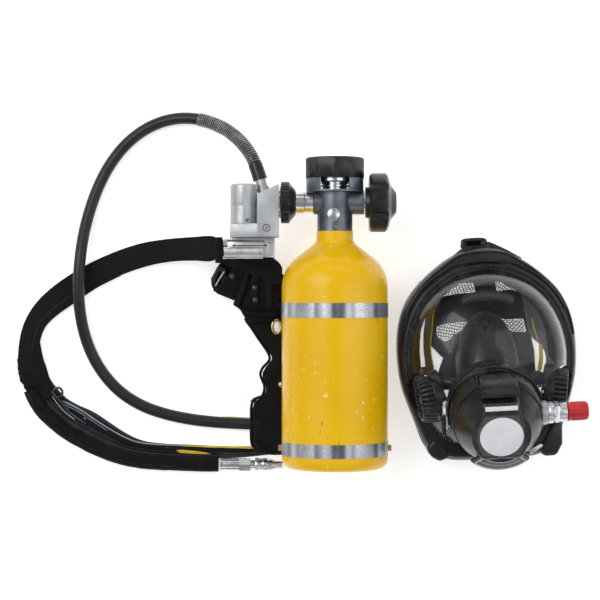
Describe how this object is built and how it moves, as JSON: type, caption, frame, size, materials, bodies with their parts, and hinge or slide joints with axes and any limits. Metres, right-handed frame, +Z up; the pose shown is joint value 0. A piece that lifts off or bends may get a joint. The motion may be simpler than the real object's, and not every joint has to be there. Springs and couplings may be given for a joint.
{
  "type": "breathing apparatus",
  "caption": "Short-duration breathing set: small yellow bottle with valve, gauge and reducer, waist harness with hoses, and a full face mask with a twist-on demand regulator.",
  "frame": {"origin": "on the table, under the middle of the laid-out set", "axes": "+X towards the handwheel and mask side, +Y from the bottle base to its valve, +Z up from the table"},
  "size_m": [0.6017, 0.3888, 0.1631],
  "materials": {
    "yellow_paint": "glossy yellow enamel with small scratches",
    "silver_tape": "reflective silver band",
    "brass": "worn brass",
    "grey_casting": "dark grey anodised casting",
    "bright_steel": "bright turned steel",
    "clear_glass": "clear window",
    "dial_white": "white printed dial",
    "black_rubber": "moulded black rubber",
    "black_plastic": "black moulded plastic",
    "dark_metal": "dark perforated metal",
    "satin_silver": "satin silver painted casting",
    "polished_plate": "polished sheet",
    "hose_black": "black hose",
    "woven_black": "black woven webbing",
    "visor": "clear visor",
    "red_knob": "red anodised"
  },
  "bodies": {
    "bottle_and_harness": {"bottle_shell": "yellow_paint", "bottle_bands": "silver_tape", "band_hooks": "brass", "valve_body": "grey_casting", "burst_disc_plug": "bright_steel", "gauge_cage": "grey_casting", "gauge_nut": "brass", "gauge_case": "bright_steel", "gauge_dial": "dial_white", "gauge_lens": "clear_glass", "guard_cap": "black_rubber", "outlet_stem": "bright_steel", "outlet_seal": "black_rubber", "inlet_flange": "bright_steel", "flange_screws": "bright_steel", "reducer_housing": "satin_silver", "hose_elbow": "bright_steel", "reducer_cap": "satin_silver", "reducer_spring": "bright_steel", "clip_bracket": "polished_plate", "clip_pin": "bright_steel", "lp_hose": "hose_black", "bend_guard": "dark_metal", "hose_boot": "black_rubber", "hose_socket": "bright_steel", "airline_hose": "woven_black", "airline_ferrule": "bright_steel", "airline_plug": "bright_steel", "upper_belt": "woven_black", "lower_belt": "woven_black", "back_pad": "woven_black", "harness_studs": "brass", "pouch": "woven_black", "strap_adjuster": "black_plastic", "side_strap": "woven_black"},
    "handwheel": {"valve_spindle": "bright_steel", "handwheel": "black_rubber", "handwheel_screw": "bright_steel"},
    "valve_plunger": {"valve_plunger": "bright_steel"},
    "gauge_needle": {"gauge_needle": "brass"},
    "coupling_wheel": {"coupling_wheel": "black_plastic"},
    "reducer_piston": {"reducer_piston": "brass"},
    "clip_plate": {"clip_plate": "polished_plate"},
    "airline_collar": {"airline_collar": "bright_steel"},
    "mask": {"face_seal": "black_rubber", "lens": "visor", "lens_frame": "black_plastic", "mask_port": "black_plastic", "port_clip": "bright_steel", "voicemitter_housings": "black_plastic", "voicemitter_discs": "dark_metal", "nose_cup": "black_rubber", "head_net": "woven_black", "strap_buckles": "black_plastic"},
    "regulator": {"regulator_body": "black_plastic", "inlet_union": "bright_steel", "regulator_cover": "black_plastic"},
    "donning_button": {"donning_button": "black_plastic"},
    "purge_knob": {"purge_knob": "red_knob"},
    "demand_diaphragm": {"demand_diaphragm": "black_rubber"}
  },
  "joints": [
    {"name": "handwheel_turn", "type": "hinge", "parent": "bottle_and_harness", "child": "handwheel", "pos_m": [0.0867, 0.1157, 0.0665], "axis": [1, 0, 0], "range_deg": [0, 900]},
    {"name": "plunger_lift", "type": "slide", "parent": "handwheel", "child": "valve_plunger", "axis": [1, 0, 0], "range_m": [0, 0.0038]},
    {"name": "gauge_needle_sweep", "type": "hinge", "parent": "bottle_and_harness", "child": "gauge_needle", "pos_m": [0.043, 0.15, 0.0665], "axis": [0, -1, 0], "range_deg": [0, 270], "stiffness_Nm_per_rad": 0.01},
    {"name": "coupling_turn", "type": "hinge", "parent": "bottle_and_harness", "child": "coupling_wheel", "pos_m": [-0.006, 0.1157, 0.0665], "axis": [1, 0, 0], "range_deg": [0, 1440]},
    {"name": "piston_slide", "type": "slide", "parent": "bottle_and_harness", "child": "reducer_piston", "axis": [0, 1, 0], "range_m": [0, 0.0012], "stiffness_N_per_m": 4000, "deforming": ["reducer_spring"]},
    {"name": "clip_plate_hinge", "type": "hinge", "parent": "bottle_and_harness", "child": "clip_plate", "pos_m": [-0.0505, 0.0734, 0.0634], "axis": [-1, 0, 0], "range_deg": [0, 75]},
    {"name": "plug_collar_slide", "type": "slide", "parent": "bottle_and_harness", "child": "airline_collar", "axis": [-1, 0, 0], "range_m": [0, 0.004], "stiffness_N_per_m": 600},
    {"name": "mask_lift", "type": "slide", "parent": "bottle_and_harness", "child": "mask", "axis": [0, 0, 1], "range_m": [0, 0.3]},
    {"name": "regulator_turn", "type": "hinge", "parent": "mask", "child": "regulator", "pos_m": [0.20753, -0.09942, 0.1], "axis": [0.0221, -0.422, 0.9063], "range_deg": [0, 90]},
    {"name": "donning_button_press", "type": "slide", "parent": "regulator", "child": "donning_button", "axis": [0.0474, -0.9051, -0.4226], "range_m": [0, 0.002], "stiffness_N_per_m": 900},
    {"name": "purge_knob_turn", "type": "hinge", "parent": "regulator", "child": "purge_knob", "pos_m": [0.2797, -0.10072, 0.11088], "axis": [0.9986, 0.0523, 0], "range_deg": [0, 180]},
    {"name": "diaphragm_breath", "type": "slide", "parent": "regulator", "child": "demand_diaphragm", "axis": [-0.0221, 0.422, -0.9063], "range_m": [0, 0.0015], "stiffness_N_per_m": 300}
  ],
  "couplings": [
    {"joint": "plunger_lift", "follows": "handwheel_turn", "m_per_rad": 0.00023873}
  ]
}
